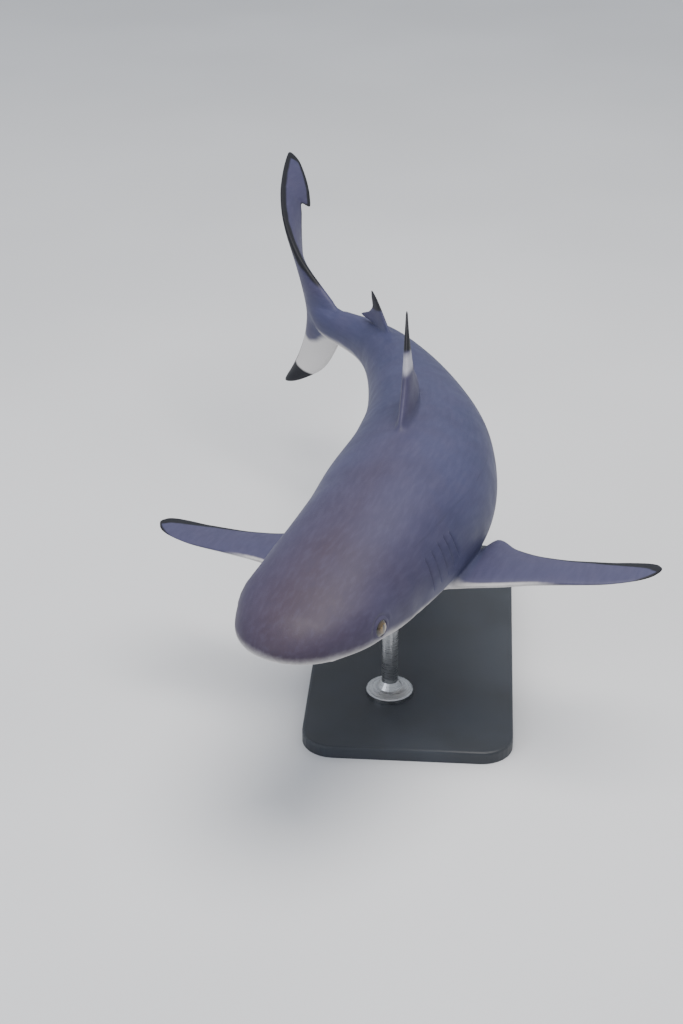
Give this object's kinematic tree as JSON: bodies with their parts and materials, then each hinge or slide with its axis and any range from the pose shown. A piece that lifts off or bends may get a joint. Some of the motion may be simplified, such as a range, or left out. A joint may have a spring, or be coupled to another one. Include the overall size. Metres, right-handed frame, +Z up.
{
  "type": "blacktip reef shark display model",
  "caption": "Still, life-size model of a blacktip reef shark turning as it swims, with spread pectoral fins and a swept tail, held on a flat base by short upright rods.",
  "frame": {"origin": "middle of the stand's underside, under the spine at 36 percent of the shark's length", "axes": "+Z up; the snout points towards -Y and the tail towards +Y; the shark's left side is +X"},
  "size_m": [0.6213, 1.2221, 0.458],
  "materials": {
    "skin": "fine-grained satin shark skin, slate above and white below",
    "pale_skin": "pale belly skin, satin",
    "fin_skin": "slate fin skin with black tips, satin",
    "eye": "clear gloss over a brown iris",
    "base_paint": "satin dark grey paint",
    "rod_steel": "brushed"
  },
  "bodies": {
    "root": {"head": "skin", "gill_region": "skin", "trunk": "skin", "tail_stalk": "skin", "lower_jaw": "pale_skin", "caudal_upper_lobe": "fin_skin", "caudal_lower_lobe": "fin_skin", "first_dorsal_fin": "fin_skin", "second_dorsal_fin": "fin_skin", "anal_fin": "fin_skin", "pectoral_fin_left": "fin_skin", "pectoral_fin_right": "fin_skin", "pelvic_fin_left": "fin_skin", "pelvic_fin_right": "fin_skin", "eye_left": "eye", "eye_right": "eye", "stand_base": "base_paint", "stand_rod_front": "rod_steel", "stand_rod_rear": "rod_steel"}
  },
  "joints": []
}
